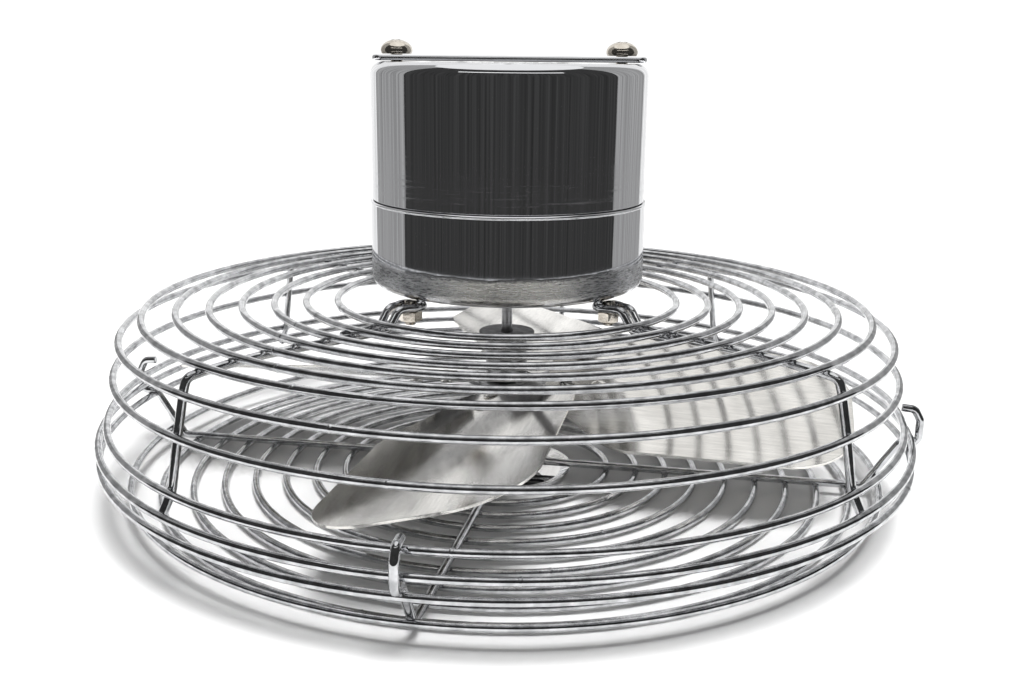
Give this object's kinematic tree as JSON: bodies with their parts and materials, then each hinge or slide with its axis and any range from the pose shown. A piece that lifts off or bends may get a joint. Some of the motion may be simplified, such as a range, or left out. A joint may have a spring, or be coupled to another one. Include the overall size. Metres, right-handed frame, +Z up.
{
  "type": "desk fan head",
  "caption": "Desk fan head lying face down: chromed wire cage in two clipped halves, round motor can with a back strap, and a wheel of riveted sheet blades that spins.",
  "frame": {"origin": "on the fan's axis, at the face of the front badge on which the fan rests", "axes": "+Z up along the fan's axis from the front guard to the motor's strap, +X along the strap, -Y towards the viewer of the picture"},
  "size_m": [0.3438, 0.3438, 0.1858],
  "materials": {
    "chrome": "polished chrome plate on drawn steel",
    "chromed_wire": "bright chrome plate on welded wire",
    "nickel": "warm nickel plate",
    "aluminium": "satin sheet, as rolled",
    "steel": "plain machined steel",
    "dark_steel": "dark oxide finish",
    "bronze": "sintered bronze",
    "copper": "lacquered copper wire, as one solid",
    "rubber": "black moulded rubber"
  },
  "bodies": {
    "frame": {"rear_guard": "chromed_wire", "front_guard": "chromed_wire", "badge": "chrome", "badge_clamp": "steel", "badge_screw": "nickel", "front_shell": "chrome", "rear_shell": "chrome", "end_plate": "chrome", "mounting_strap": "chrome", "strap_bolt_left": "nickel", "strap_bolt_right": "nickel", "strap_nut_left": "nickel", "strap_nut_right": "nickel", "lead_grommet": "rubber", "stator_core": "dark_steel", "winding_front": "copper", "winding_rear": "copper", "front_bush": "bronze", "rear_bush": "bronze", "front_bracket": "steel", "rear_bracket": "steel", "guard_stud_back_left": "nickel", "guard_nut_back_left": "nickel", "guard_stud_back_right": "nickel", "guard_nut_back_right": "nickel", "guard_stud_front_left": "nickel", "guard_nut_front_left": "nickel", "guard_stud_front_right": "nickel", "guard_nut_front_right": "nickel"},
    "rotor": {"shaft": "steel", "rotor_core": "dark_steel", "end_ring_front": "aluminium", "end_ring_rear": "aluminium", "thrust_washer_front": "bronze", "thrust_washer_rear": "bronze", "hub": "steel", "slinger_disc": "dark_steel", "set_screw": "dark_steel", "spider": "steel", "blade_1": "aluminium", "rivet_1_inner": "aluminium", "rivet_1_outer": "aluminium", "blade_2": "aluminium", "rivet_2_inner": "aluminium", "rivet_2_outer": "aluminium", "blade_3": "aluminium", "rivet_3_inner": "aluminium", "rivet_3_outer": "aluminium", "blade_4": "aluminium", "rivet_4_inner": "aluminium", "rivet_4_outer": "aluminium"}
  },
  "joints": [
    {"name": "rotor_spin", "type": "hinge", "parent": "frame", "child": "rotor", "pos_m": [0, 0, 0.0545], "axis": [0, 0, 1], "continuous": true}
  ]
}
